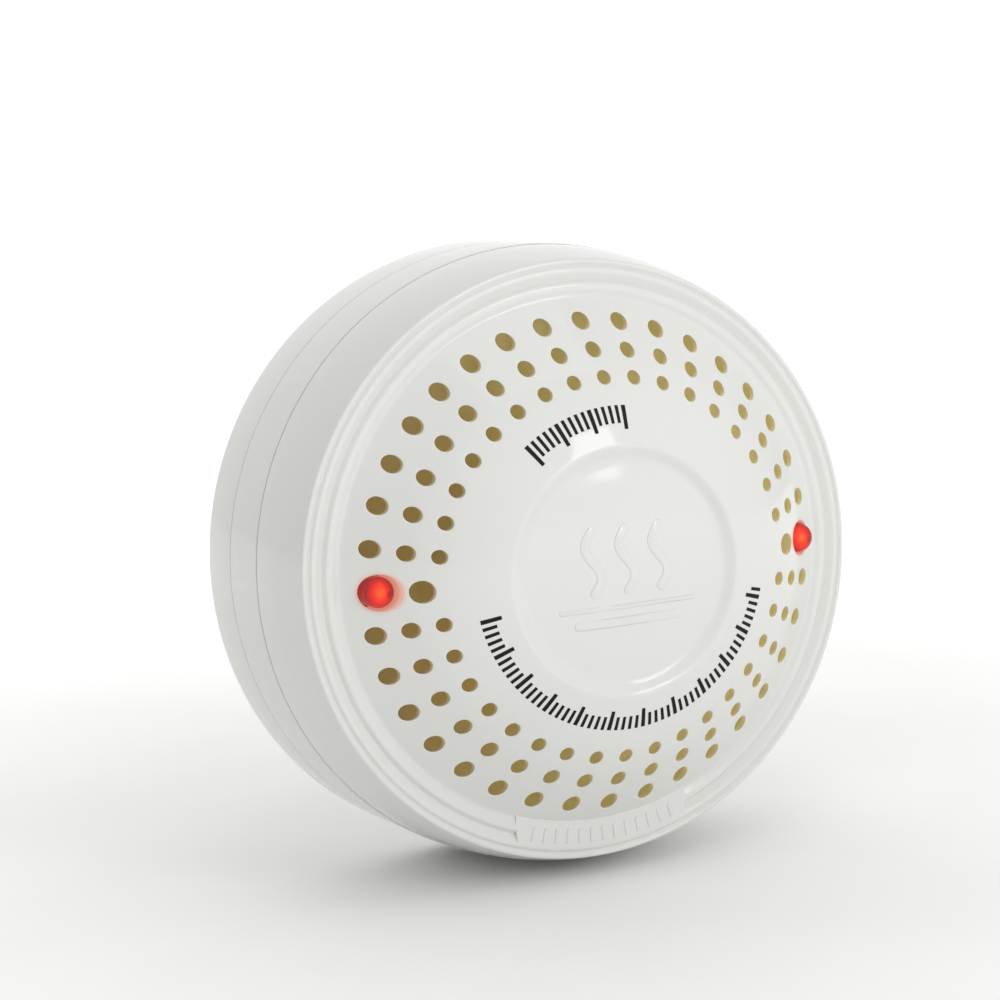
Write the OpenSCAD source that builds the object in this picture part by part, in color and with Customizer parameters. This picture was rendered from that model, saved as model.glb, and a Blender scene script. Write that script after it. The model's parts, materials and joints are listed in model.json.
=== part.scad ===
// Conventional heat detector: a domed, perforated head that twists onto a shallow base.
// Lengths are in millimetres. Every piece is drawn with the mounting plane at height 0 and
// the perforated front facing up; on_wall() then turns it so that the front faces -Y and
// 12 o'clock is +Z. The origin is the centre of the mounting plane.

/* [Body] */
// Outside diameter at the back edge of the base
body_d = 107; // [106:1:110]
// Height from the mounting plane to the top of the crown
body_h = 51.5; // [51:0.5:56]
// Height of the band of the base
base_h = 10; // [10:0.5:11]
// Height of the seam between the rear housing and the front cover
seam_h = 26.7; // [26:0.1:28]
// Draft of the side wall, in degrees
draft = 2; // [1.5:0.1:2.5]
// Thickness of the shells
wall = 2; // [1.8:0.1:2.2]
// Thickness of the perforated front
vent_wall = 1; // [0.8:0.1:1.4]
// Gap at the two seams
seam_gap = 0.25; // [0.1:0.05:0.4]

/* [Front] */
// Radius of the outer edge of the ringed rim
rim_r = 50; // [49.5:0.1:50.5]
// Radius at which the perforated cone rises from the rim
foot_r = 44.2; // [44:0.1:44.5]
// Slope of the perforated cone, in degrees
cone_angle = 41; // [39:1:42]
// Radius of the arc that rounds the crown
crown_round = 36; // [35:0.5:37]
// Distance of that arc's centre from the axis
crown_offset = 12; // [11.5:0.5:12.5]
// Radius of the recessed disc at the top of the crown
recess_r = 20; // [18:0.5:20]
// Depth of the recessed disc at its edge
recess_depth = 1.1; // [1:0.1:1.3]
// How far the disc's floor rises towards its centre
recess_rise = 0.9; // [0.3:0.1:0.9]
// Width of the raised pad on the rim
pad_width = 31.8; // [24:0.2:40]

/* [Vents] */
// Angle between neighbouring vents in a row, in degrees
vent_pitch = 10; // [10:5:15]
// Radius of the inner, middle and outer row of vents
vent_row_r = [31, 35.4, 40];
// Diameter of the vents in the inner, middle and outer row
vent_row_d = [2.5, 2.75, 3.1];
// Radius of the centre of each large vent beside a lamp
large_vent_r = 33.2; // [33:0.1:33.4]
// Diameter of each large vent
large_vent_d = 3.8; // [3:0.1:4]

/* [Lamps] */
// Radius of the centre of each lamp
lamp_r = 38.6; // [38.4:0.1:38.8]
// Diameter of the opening for each lamp
lamp_opening_d = 6; // [5.4:0.1:6.4]
// Diameter of each lamp
lamp_d = 5; // [4:0.5:5]

/* [Fixing] */
// Distance between the centres of the two fixing slots
slot_spacing = 60; // [58:1:60]
// End-to-end length of each fixing slot
slot_length = 12; // [8:1:12]
// Distance between the centres of the two round fixing holes
hole_spacing = 50; // [48:1:52]
// Width of the fixing slots and diameter of the fixing holes
fixing_d = 4.4; // [4:0.1:4.6]
// Diameter of the cable entry
cable_entry_d = 28; // [20:1:30]

/* [Twist lock] */
// Angle that the head turns through to come free, in degrees
twist = 20; // [18:1:22]

/* [Hidden] */
CONTACTS = [1, 2, 3, 4];
$fn = 96;

SHELL_WHITE = "#e4e5e1";
BAFFLE_CREAM = "#d8cda6";
LAMP_RED = "#e0281c";
BOARD_GREEN = "#2f6b46";
NICKEL = "#c4c4be";
BRASS = "#c9a95c";
CHIP_BLACK = "#26272a";

over = 0.01;          // how far a cut runs past the face that it opens
root = 0.5;           // how deep a rib, boss or lug is rooted in the wall that carries it
lamp_angles = [180, 0];

// Side wall: a cone that narrows from the back edge to the seam.
back_r = body_d / 2;
function side_r(h) = back_r - h * tan(draft);

// Front: the crown's arc meets the cone where their slopes agree.
crown_centre_h = body_h - sqrt(crown_round^2 - (recess_r - crown_offset)^2);
cone_top = [crown_offset, crown_centre_h] + crown_round * [sin(cone_angle), cos(cone_angle)];
function cone_h(r) = cone_top.y - (r - cone_top.x) * tan(cone_angle);
rim_h = cone_h(foot_r);
recess_floor_h = body_h - recess_depth;
recess_floor_r = recess_r - 2;
crown_inner_h = recess_floor_h - wall;

// Shoulder: an arc from the side wall's draft at the seam to the outer edge of the rim.
shoulder_start = [side_r(seam_h), seam_h];
shoulder_end = [rim_r, rim_h];
shoulder_mid_angle = atan2(shoulder_start.x - shoulder_end.x, shoulder_end.y - shoulder_start.y);
shoulder_end_angle = 2 * shoulder_mid_angle - draft;
shoulder_round = (rim_h - seam_h) / (sin(shoulder_end_angle) - sin(draft));
shoulder_centre = shoulder_start - shoulder_round * [cos(draft), sin(draft)];

// Rim: a bead at its outer edge, then two lands. Each land climbs gently from the inside and
// falls steeply to the groove outside it.
bead_r = 0.45;
outer_land = [rim_r - 2.2, rim_r - 1.6];
inner_land = [rim_r - 5, rim_r - 4.1];
land_h = rim_h + 0.75;
land_climb = 1.3;
land_fall = 0.5;
inner_land_foot_r = foot_r - 0.3;
pad_radii = [foot_r - 0.8, outer_land[1] - 0.1];
pad_h = land_h + 0.05;

// Base: floor, and the ledges that hold the head's lugs.
base_floor_h = 1.6;                            // underside of the floor
base_floor_top = base_floor_h + wall;
base_inner_r = side_r(base_h) - wall;          // inside of the rim wall
spigot_r = base_inner_r - 4.1;                 // outside of the ring under the head
lock_angles = [30, 150, 270];
lug_half_angle = 8;
ledge_half_angle = twist / 2;
lug_h = [5.9, 7.7];
ledge_h = [8, base_h - 0.2];
lock_clearance = 0.3;
stop_clearance_angle = 0.5;
terminal_boss_r = 3;
terminal_bore_r = 1.5;
terminal_bottom_h = 0.6;

// Rear housing: a flange over the base's rim, and a floor sunk into the base.
flange_h = base_h + seam_gap;
housing_floor_h = [9, 11];
spigot_bottom_h = lug_h[0] - 0.1;
lip_r = [49.1, 50.2];
lip_h = [22, seam_h + 2.2];
hook_angles = [45, 135, 225, 315];
hook_half_angle = 5;

// Circuit board.
board_h = 20;
board_top = board_h + 1.6;
board_r = 46;
board_screw_r = 38;
board_screw_shaft_r = 1.25;
board_screw_angles = [15, 105, 195, 285];
pin_pitch = 2.54;

// Contacts: each one is laid out from the angle of its terminal screw.
contact_r = 36;
metal = 0.6;                                   // thickness of the stamped metal
function contact_angle(i) = 25 + 90 * (i - 1);
clip_leaf_h = 6.7;
tab_blade_h = clip_leaf_h - lock_clearance - metal;
tab_foot_h = housing_floor_h[0] - metal;
post_offset_angle = 33;
post_r = 1.2;

// Inner baffle.
baffle_h = [29, 30.5];
baffle_wall = 1.5;
baffle_r = 44.2;                               // outside of the skirt under the floor
baffle_edge_r = 46.9;
drum_r = 28;
drum_top = 45.3;
leg_angles = [80, 170, 260, 350];
leg_r = 1.2;

lamp_top = 42.6;
lamp_bottom = lamp_top - 8.6;
spacer_r = 3.1;
collar_wall = 0.8;
collar_bottom_h = lamp_bottom + 1.5;
large_vent_bottom_h = cone_h(large_vent_r + large_vent_d / 2) - 2 * vent_wall;
sensor_angles = [142.5, 322.5];
thermistor_r = 33;
thermistor_h = 34;

function arc(centre, r, from, to, steps = 12) =
    [for (i = [0:steps]) let (a = from + (to - from) * i / steps) centre + r * [cos(a), sin(a)]];

module on_wall() rotate([90, 0, 0]) children();

module at(r, angle, h = 0) rotate(angle) translate([r, 0, h]) children();

// A round bar between two heights.
module rod(r, h) translate([0, 0, h[0]]) cylinder(r = r, h = h[1] - h[0]);

// A hole between two heights, run a little past both.
module bore(r, h) rod(r, [h[0] - over, h[1] + over]);

// A stretch of a ring with a rectangular section.
module arc_block(radii, h, from, to)
    rotate(from) rotate_extrude(angle = to - from)
        translate([radii[0], h[0]]) square([radii[1] - radii[0], h[1] - h[0]]);

module ring(radii, h) difference() {
    rod(radii[1], h);
    bore(radii[0], h);
}

// A slot with round ends, along X.
module slot(length, width, h) {
    run = (length - width) / 2;
    for (side = [-1, 1]) translate([side * run, 0, 0]) rod(width / 2, h);
    translate([-run, -width / 2, h[0]]) cube([2 * run, width, h[1] - h[0]]);
}

// ---- Mounting base ----

module base_shell() rotate_extrude() polygon([
    [0, base_floor_h], [base_inner_r, base_floor_h], [base_inner_r, 0], [back_r, 0],
    [side_r(base_h), base_h], [base_inner_r, base_h], [base_inner_r, base_floor_top],
    [0, base_floor_top]]);

// Ribs under the floor, from a hub out to the wall.
module base_ribs() {
    rib_width = 1.2;
    rib_bottom_h = 0.4;
    hub_radii = [17, 19];
    for (a = [15:30:345]) rotate(a)
        translate([hub_radii[1] - root, -rib_width / 2, rib_bottom_h + 0.1])
            cube([base_inner_r + 2 * root - hub_radii[1], rib_width,
                  base_floor_h + 2 * root - rib_bottom_h]);
    ring(hub_radii, [rib_bottom_h, base_floor_h + root]);
}

module each_slot() for (side = [-1, 1]) translate([side * slot_spacing / 2, 0, 0]) children();

module each_hole() for (side = [-1, 1]) translate([0, side * hole_spacing / 2, 0]) children();

module fixing_bosses() {
    boss_h = [0, base_floor_h + root];
    each_slot() slot(slot_length + 5, fixing_d + 5, boss_h);
    each_hole() rod(fixing_d / 2 + 2.5, boss_h);
}

module fixing_cuts() {
    cut_h = [-over, base_floor_top + over];
    each_slot() slot(slot_length, fixing_d, cut_h);
    each_hole() rod(fixing_d / 2, cut_h);
}

// Ledges that the lugs slide under, and a stop at each end of the twist.
module twist_lock() for (a = lock_angles) rotate(a) {
    ledge_radii = [spigot_r + lock_clearance, base_inner_r + root];
    arc_block(ledge_radii, ledge_h, -ledge_half_angle, ledge_half_angle);
    stop_radii = [ledge_radii[0] + 0.2, base_inner_r + 2 * root];
    locked_stop = lug_half_angle + stop_clearance_angle;
    arc_block(stop_radii, [base_floor_top - root, ledge_h[0] + root], -locked_stop - 1, -locked_stop);
    free_stop = twist + lug_half_angle + stop_clearance_angle;
    arc_block(stop_radii, [base_floor_top - root, lug_h[1]], free_stop, free_stop + 2);
}

module each_terminal() for (i = CONTACTS) at(contact_r, contact_angle(i)) children();

module mounting_base() on_wall() color(SHELL_WHITE) difference() {
    collar_h = [base_floor_h + root, base_floor_top + 2];
    union() {
        base_shell();
        base_ribs();
        fixing_bosses();
        twist_lock();
        rod(cable_entry_d / 2 + 1.5, collar_h);
        each_terminal() rod(terminal_boss_r, [terminal_bottom_h, base_floor_top - root]);
    }
    fixing_cuts();
    bore(cable_entry_d / 2, [0, collar_h[1]]);
    each_terminal() bore(terminal_bore_r, [terminal_bottom_h, base_floor_top]);
}

// ---- Contacts in the base ----

// A strip under the terminal screw, a riser, and a sprung leaf over the head's tab.
module contact_clip(i) on_wall() color(NICKEL) rotate(contact_angle(i)) {
    strip_h = [base_floor_top, base_floor_top + metal];
    leaf_radii = [contact_r - 3, contact_r + 3];
    riser_angles = [11, 12];
    difference() {
        arc_block(leaf_radii + [-1, 1], strip_h, -7, riser_angles[1]);
        at(contact_r, 0) bore(terminal_bore_r + 0.1, strip_h);
    }
    arc_block(leaf_radii, [strip_h[0], clip_leaf_h + metal], riser_angles[0], riser_angles[1]);
    arc_block(leaf_radii, [clip_leaf_h, clip_leaf_h + metal], riser_angles[0], 24);
}

washer_h = [base_floor_top + metal, base_floor_top + metal + 0.8];
washer_width = 6.8;

module terminal_washers() on_wall() color(NICKEL) each_terminal() difference() {
    translate([-washer_width / 2, -washer_width / 2, washer_h[0]])
        cube([washer_width, washer_width, washer_h[1] - washer_h[0]]);
    bore(terminal_bore_r + 0.1, washer_h);
}

module pan_head_screw(shaft_r, head_r, shaft_h, head_top) {
    rod(shaft_r, [shaft_h[0], shaft_h[1] + over]);
    difference() {
        rod(head_r, [shaft_h[1], head_top]);
        for (a = [0, 90]) rotate(a)
            translate([-head_r * 0.6, -0.4, head_top - 0.9]) cube([head_r * 1.2, 0.8, 1]);
    }
}

module terminal_screws() on_wall() color(BRASS) each_terminal()
    pan_head_screw(terminal_bore_r - 0.05, 2.8, [1, washer_h[1]], washer_h[1] + 2);

// ---- Rear housing of the head ----

module each_board_screw() for (a = board_screw_angles) at(board_screw_r, a) children();

module each_contact_post() for (i = CONTACTS)
    at(contact_r, contact_angle(i) + post_offset_angle) children();

// Floor, spigot, flange and side wall, with a lip inside the seam that the hooks hold.
module housing_shell() rotate_extrude() polygon([
    [0, housing_floor_h[0]], [spigot_r - wall, housing_floor_h[0]],
    [spigot_r - wall, spigot_bottom_h], [spigot_r, spigot_bottom_h], [spigot_r, flange_h],
    [side_r(flange_h), flange_h], [side_r(seam_h), seam_h], [side_r(seam_h) - wall, seam_h],
    [lip_r[1], seam_h], [lip_r[1], lip_h[1]], [lip_r[0], lip_h[1]], [lip_r[0], lip_h[0]],
    [side_r(lip_h[0]) - wall, lip_h[0] - 1.5], [side_r(flange_h) - wall, flange_h + wall],
    [spigot_r, flange_h + wall], [spigot_r - wall, housing_floor_h[1]], [0, housing_floor_h[1]]]);

module rear_housing() on_wall() color(SHELL_WHITE) difference() {
    union() {
        housing_shell();
        each_board_screw() rod(3, [housing_floor_h[1] - root, board_h]);
        for (a = lock_angles)
            arc_block([spigot_r - root, base_inner_r - lock_clearance], lug_h,
                      a - lug_half_angle, a + lug_half_angle);
    }
    each_board_screw() bore(board_screw_shaft_r + 0.05, [board_h - 7, board_h]);
    each_contact_post() bore(post_r + 0.05, housing_floor_h);
    for (a = hook_angles)
        arc_block([lip_r[0] - 0.2, lip_r[1] + over], [lip_h[0] - 0.2, lip_h[0] + 2.4],
                  a - hook_half_angle - 1, a + hook_half_angle + 1);
}

module rating_label() on_wall() color("#f2f2ee")
    rod(17, [housing_floor_h[0] - 0.15, housing_floor_h[0]]);

// ---- Contacts under the head ----

// A foot on the housing's floor, a riser, and a blade that slides under the clip's leaf.
module contact_tab(i) on_wall() color(NICKEL) rotate(contact_angle(i)) {
    radii = [contact_r - 2.5, contact_r + 2.5];
    bend_angles = [27, 28];
    difference() {
        arc_block(radii, [tab_foot_h, housing_floor_h[0]], bend_angles[0], 38);
        at(contact_r, post_offset_angle) bore(post_r + 0.05, [tab_foot_h, housing_floor_h[0]]);
    }
    arc_block(radii + [0.3, -0.3], [tab_blade_h + metal / 2, tab_foot_h + metal / 2],
              bend_angles[0] + 0.1, bend_angles[1] - 0.1);
    arc_block(radii, [tab_blade_h, tab_blade_h + metal], 14, bend_angles[1]);
}

module contact_posts() on_wall() color(BRASS) each_contact_post() {
    rod(2, [tab_foot_h - metal, tab_foot_h]);
    rod(post_r, [tab_foot_h - over, board_top + 0.8]);
}

// ---- Circuit board and its parts ----

module circuit_board() on_wall() color(BOARD_GREEN) difference() {
    rod(board_r, [board_h, board_top]);
    each_board_screw() bore(board_screw_shaft_r + 0.25, [board_h, board_top]);
    each_contact_post() bore(post_r + 0.1, [board_h, board_top]);
    each_leg() bore(leg_r + 0.1, [board_h, board_top]);
}

module board_screws() on_wall() color(NICKEL) each_board_screw()
    pan_head_screw(board_screw_shaft_r, 2.4, [board_h - 6, board_top], board_top + 1.8);

module on_board(x, y) translate([x, y, board_top]) children();

// A box over the board, centred on its place.
module block(size, h) translate([-size.x / 2, -size.y / 2, h]) cube(size);

module controller_chip() on_wall() color(CHIP_BLACK) on_board(0, -3) {
    body = [19, 6.4, 3.4];
    standoff = 0.6;
    difference() {
        block(body, standoff);
        translate([-body.x / 2, 0, body.z - 0.2]) cylinder(r = 1, h = 1);
    }
    for (k = [-3:3], side = [-1, 1])
        translate([k * pin_pitch, side * (body.y / 2 + 0.35), 0]) block([0.6, 0.8, 2.2], 0);
}

module filter_capacitor() on_wall() color("#2b3550") on_board(14, 12) {
    cylinder(r = 4, h = 11);
    ring([2.6, 3.9], [11 - over, 11.3]);
}

module bridge_rectifier() on_wall() color(CHIP_BLACK) on_board(-14, 12) {
    body = [7.5, 6.5, 2.6];
    block(body, 0.6);
    for (x = [-pin_pitch, pin_pitch], side = [-1, 1])
        translate([x, side * (body.y / 2 + 0.35), 0]) block([0.8, 0.8, 1.8], 0);
}

// A body lying on the board with a wire out of each end, bent down to the board.
module axial_part(body_r, body_length, lead_pitch) {
    lead_r = 0.3;
    axis_h = body_r + 0.3;
    rotate([90, 0, 0]) translate([0, axis_h, 0]) {
        translate([0, 0, -body_length / 2]) cylinder(r = body_r, h = body_length);
        translate([0, 0, -lead_pitch / 2]) cylinder(r = lead_r, h = lead_pitch);
    }
    for (side = [-1, 1]) translate([0, side * (lead_pitch / 2 - lead_r), 0])
        cylinder(r = lead_r, h = axis_h);
}

module surge_suppressor() on_wall() color(CHIP_BLACK)
    on_board(0, 16) rotate(90) axial_part(1.8, 7, 12.7);

module resistors() on_wall() color("#cbb489")
    for (k = [-3:3]) on_board(5 * k, -15) axial_part(1.15, 6.2, 9.4);

module ceramic_capacitors() on_wall() color("#c98a3a")
    for (place = [[-6.5, 7], [6.5, 7], [-20, 4], [20, 4]]) on_board(place.x, place.y) {
        translate([-1, 0, 3.2]) rotate([0, 90, 0]) cylinder(r = 2.3, h = 2);
        for (side = [-1.3, 1.3]) translate([0, side, 0]) cylinder(r = 0.3, h = 2);
    }

module transistors() on_wall() color(CHIP_BLACK)
    for (place = [[-19.5, -3], [19.5, -3], [0, 8]]) on_board(place.x, place.y) {
        translate([0, 0, 2]) difference() {
            cylinder(r = 2.3, h = 4.5);
            translate([-3, -3.4, -over]) cube([6, 2, 5]);
        }
        for (k = [-1:1]) translate([k * pin_pitch / 2, 0, 0]) cylinder(r = 0.25, h = 2 + over);
    }

// A bead on two wires.
module bead_thermistor(bead_h) {
    for (side = [-0.6, 0.6]) translate([0, side, 0]) rod(0.25, [board_top, bead_h]);
    translate([0, 0, bead_h]) sphere(r = 1.2);
}

module reference_thermistor() on_wall() color("#3a2f28")
    translate([0, 22, 0]) bead_thermistor(board_top + 4);

module sensing_thermistor(angle) on_wall() color("#3a2f28")
    at(thermistor_r, angle) bead_thermistor(thermistor_h);

// ---- Inner baffle ----

module each_leg() for (a = leg_angles) at(baffle_r - baffle_wall / 2, a) children();

// A floor under the vents with a skirt down to the board, and a closed drum in the middle.
module baffle_shell() rotate_extrude() polygon([
    [drum_r - baffle_wall, baffle_h[0]], [baffle_r - baffle_wall, baffle_h[0]],
    [baffle_r - baffle_wall, board_top], [baffle_r, board_top], [baffle_r, baffle_h[0]],
    [baffle_edge_r, baffle_h[0]], [baffle_edge_r, baffle_h[1]], [drum_r, baffle_h[1]],
    [drum_r, drum_top], [0, drum_top], [0, drum_top - baffle_wall],
    [drum_r - baffle_wall, drum_top - baffle_wall]]);

module inner_baffle() on_wall() color(BAFFLE_CREAM) difference() {
    union() {
        baffle_shell();
        each_leg() {
            rod(leg_r, [board_h - 1.6, board_top + 1]);
            rod(leg_r + 0.3, [board_h - 1.6, board_h - 0.4]);
        }
    }
    for (a = lamp_angles) at(lamp_r, a) bore(spacer_r + 0.3, baffle_h);
    for (a = sensor_angles) at(thermistor_r, a) bore(1.6, baffle_h);
}

// ---- Lamps ----

module each_lead() for (side = [-1, 1]) translate([0, side * pin_pitch / 2, 0]) children();

module lamp_spacer(angle) on_wall() color("#e9e7df") at(lamp_r, angle) difference() {
    rod(spacer_r, [board_top, lamp_bottom]);
    each_lead() bore(0.5, [board_top, lamp_bottom]);
}

module lamp(angle) on_wall() color(LAMP_RED) at(lamp_r, angle) {
    dome_h = lamp_top - lamp_d / 2;
    each_lead() rod(0.3, [board_top, lamp_bottom + over]);
    rod(lamp_d / 2 + 0.4, [lamp_bottom, lamp_bottom + 1]);
    rod(lamp_d / 2, [lamp_bottom, dome_h]);
    translate([0, 0, dome_h]) sphere(d = lamp_d);
}

// ---- Front cover ----

// Outline of the rim, from its outer edge to the foot of the cone.
rim_outline = concat(
    arc([rim_r - bead_r, rim_h], bead_r, 30, 180, 5),
    [[outer_land[1] + land_fall, rim_h], [outer_land[1], land_h],
     [outer_land[0], land_h], [outer_land[0] - land_climb, rim_h],
     [inner_land[1] + land_fall, rim_h], [inner_land[1], land_h],
     [inner_land[0], land_h], [inner_land_foot_r, cone_h(inner_land_foot_r)]]);

// Outline of the recess: its edge is a smooth step, and its floor is a shallow dome.
recess_steps = 6;
function recess_edge(part) = [
    recess_r - (recess_r - recess_floor_r) * part,
    body_h - recess_depth * (1 - cos(180 * part)) / 2];
function recess_floor(part) = [
    recess_floor_r * (1 - part),
    recess_floor_h + recess_rise * (1 - (1 - part)^2)];
recess_outline = [
    for (outline = [0, 1], i = [1:recess_steps])
        outline == 0 ? recess_edge(i / recess_steps) : recess_floor(i / recess_steps)];

// Outline of the outside, from the seam up the shoulder, over the rim and cone, to the centre.
cover_outside = concat(
    [[side_r(seam_h + seam_gap), seam_h + seam_gap]],
    arc(shoulder_centre, shoulder_round, draft + 2, shoulder_end_angle, 8),
    rim_outline,
    arc([crown_offset, crown_centre_h], crown_round, 90 - cone_angle,
        acos((recess_r - crown_offset) / crown_round)),
    recess_outline);

// Outline of the inside, from the centre back down to the seam.
inner_round = crown_round - vent_wall;
inner_rim_h = rim_h - wall;
inner_foot_r = foot_r + (wall - vent_wall / cos(cone_angle)) / tan(cone_angle);
cover_inside = concat(
    [[0, crown_inner_h]],
    arc([crown_offset, crown_centre_h], inner_round,
        asin((crown_inner_h - crown_centre_h) / inner_round), 90 - cone_angle, 8),
    [[inner_foot_r, inner_rim_h]],
    arc(shoulder_centre, shoulder_round - wall, shoulder_end_angle - 3, draft + 2, 6),
    [[side_r(seam_h) - wall, seam_h + seam_gap]]);

// Hooks that hold the cover on the housing's lip.
module cover_hooks() for (a = hook_angles) {
    arm_r = [lip_r[0] - 1.8, lip_r[0] - 0.3];
    arc_block(arm_r, [lip_h[0], inner_rim_h + root], a - hook_half_angle, a + hook_half_angle);
    arc_block([arm_r[0], lip_r[0] + 0.6], [lip_h[0], lip_h[0] + 1.8],
              a - hook_half_angle, a + hook_half_angle);
}

// A tube behind the opening for each lamp, which keeps the lamp's light out of the vents.
module lamp_collars() intersection() {
    for (a = lamp_angles) at(lamp_r, a)
        ring([lamp_opening_d / 2, lamp_opening_d / 2 + collar_wall], [collar_bottom_h, body_h]);
    translate([0, 0, -vent_wall / 2]) rotate_extrude() polygon(cover_outside);
}

// A pad with upright ends that fills the grooves of the rim at 6 o'clock.
module pad() intersection() {
    ring(pad_radii, [rim_h - vent_wall / 2, pad_h]);
    translate([-pad_width / 2, -rim_r, 0]) cube([pad_width, rim_r - recess_r, body_h]);
}

// Every vent position but the two that the lamps take.
module vents() for (row = [0:2], a = [vent_pitch:vent_pitch:360 - vent_pitch])
    if (a != 180) at(vent_row_r[row], a) bore(vent_row_d[row] / 2, [inner_rim_h, body_h]);

module front_cover() on_wall() color(SHELL_WHITE) difference() {
    union() {
        rotate_extrude() polygon(concat(cover_outside, cover_inside));
        pad();
        lamp_collars();
        cover_hooks();
    }
    vents();
    for (a = lamp_angles) {
        at(lamp_r, a) bore(lamp_opening_d / 2, [collar_bottom_h, body_h]);
        at(large_vent_r, a) bore(large_vent_d / 2, [large_vent_bottom_h, body_h]);
    }
}

mounting_base();
for (i = CONTACTS) {
    contact_clip(i);
    contact_tab(i);
}
terminal_washers();
terminal_screws();
rear_housing();
rating_label();
contact_posts();
circuit_board();
board_screws();
controller_chip();
filter_capacitor();
bridge_rectifier();
surge_suppressor();
resistors();
ceramic_capacitors();
transistors();
reference_thermistor();
sensing_thermistor(sensor_angles[0]);  // sensing_thermistor_upper
sensing_thermistor(sensor_angles[1]);  // sensing_thermistor_lower
inner_baffle();
lamp_spacer(lamp_angles[0]);  // lamp_spacer_left
lamp_spacer(lamp_angles[1]);  // lamp_spacer_right
lamp(lamp_angles[0]);  // lamp_left
lamp(lamp_angles[1]);  // lamp_right
front_cover();
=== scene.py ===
import json
import math

import bmesh
import bpy
from mathutils import Matrix, Quaternion, Vector


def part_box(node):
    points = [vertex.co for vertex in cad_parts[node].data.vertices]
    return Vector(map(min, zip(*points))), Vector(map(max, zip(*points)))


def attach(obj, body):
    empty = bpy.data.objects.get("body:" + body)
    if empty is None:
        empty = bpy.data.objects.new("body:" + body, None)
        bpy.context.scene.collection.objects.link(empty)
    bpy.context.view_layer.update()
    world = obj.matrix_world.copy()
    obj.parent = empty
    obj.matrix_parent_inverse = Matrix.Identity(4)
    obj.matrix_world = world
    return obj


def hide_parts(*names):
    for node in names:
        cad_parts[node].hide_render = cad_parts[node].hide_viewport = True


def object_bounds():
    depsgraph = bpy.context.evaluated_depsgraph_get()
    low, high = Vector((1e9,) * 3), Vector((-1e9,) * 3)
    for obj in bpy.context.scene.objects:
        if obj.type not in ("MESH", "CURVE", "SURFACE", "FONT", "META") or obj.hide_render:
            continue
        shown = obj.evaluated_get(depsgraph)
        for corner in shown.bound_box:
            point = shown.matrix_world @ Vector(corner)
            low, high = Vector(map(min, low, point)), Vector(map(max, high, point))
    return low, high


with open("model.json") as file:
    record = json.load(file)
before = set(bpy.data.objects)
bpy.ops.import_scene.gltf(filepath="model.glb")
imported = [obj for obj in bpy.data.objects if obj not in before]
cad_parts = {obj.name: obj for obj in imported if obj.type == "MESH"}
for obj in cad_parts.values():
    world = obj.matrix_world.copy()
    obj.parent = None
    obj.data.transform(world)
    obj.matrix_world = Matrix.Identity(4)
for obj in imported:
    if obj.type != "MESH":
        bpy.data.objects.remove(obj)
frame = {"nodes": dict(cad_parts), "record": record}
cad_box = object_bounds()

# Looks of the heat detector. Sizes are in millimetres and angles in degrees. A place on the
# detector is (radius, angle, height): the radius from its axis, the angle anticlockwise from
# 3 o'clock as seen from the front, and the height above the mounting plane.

MM = 0.001


def cosd(a):
    return math.cos(math.radians(a))


def sind(a):
    return math.sin(math.radians(a))


def tand(a):
    return math.tan(math.radians(a))


# ---- Sizes from the frame ----

COVER_FRONT, COVER_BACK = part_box("front_cover")
CROWN_H = -COVER_FRONT.y / MM
SEAM_H = -COVER_BACK.y / MM
SEAM_R = COVER_BACK.x / MM
LAMP_TOP = -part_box("lamp_right")[0].y / MM
LAMP_R = (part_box("lamp_right")[0].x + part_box("lamp_right")[1].x) / 2 / MM
BACK_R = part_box("mounting_base")[1].x / MM
BASE_H = -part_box("mounting_base")[0].y / MM
FLOOR_Z = cad_box[0].z

# ---- Other sizes ----

# Drum: its shells, the gap between its bands, and the housing's lip that holds the cover.
WALL = 2
DRAFT = 2
SEAM_GAP = 0.1
HOUSING_TOP = SEAM_H - SEAM_GAP
LIP_R = 49.1
LIP_H = 22

# Crown, perforated cone and recess of the cover.
VENT_WALL = 1
CONE_ANGLE = 41
CROWN_ROUND = 36
CROWN_OFFSET = 12
RECESS_R = 20
RECESS_DEPTH = 1.1
RECESS_RISE = 0.9

# Rim: the foot of the cone, two lands from and to a radius, the bead outside them, and the pad.
RIM_R = 50
FOOT_R = 44.2
INNER_LAND = (45, 45.9)
OUTER_LAND = (47.8, 48.4)
LAND_RISE = 0.7
LAND_FALL = 0.6
BEAD_R = 0.5
PAD_WIDTH = 31.8

# Lamps, and the tubes behind their openings.
LAMP_ANGLES = {"left": 180, "right": 0}
LAMP_D = 5
LAMP_LENGTH = 8.6
COLLAR_WALL = 0.8
COLLAR_BOTTOM = LAMP_TOP - LAMP_LENGTH + 0.3

# Openings, as (radius of the row, diameter of the hole), and the radii between the rows.
VENT_PITCH = 10
VENT_ROWS = [(31, 2.5), (35.4, 2.75), (40, 3.1)]
ROW_EDGES = [28.9, 33.2, 37.7, 42.3]
LARGE_VENT = (33.2, 3.8)
LAMP_OPENING = (LAMP_R, 6)
LARGE_EDGES = [ROW_EDGES[0], 35.35, ROW_EDGES[-1]]
EDGE_ROUND = 0.1

# How finely the mesh is divided: corners round a ring, and the length of a step across the rows.
AROUND = 288
CELL_STEP = 0.55

# The cover's finishes, in their order. The last is white ABS with painted red lamp light.
OUTSIDE, BEHIND, LAMP_LIGHT_PAINTED = range(3)


def side_r(h):
    """Radius of the drum's side wall at a height."""
    return BACK_R - h * tand(DRAFT)


CROWN_CENTRE_H = CROWN_H - math.sqrt(CROWN_ROUND**2 - (RECESS_R - CROWN_OFFSET)**2)


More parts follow.
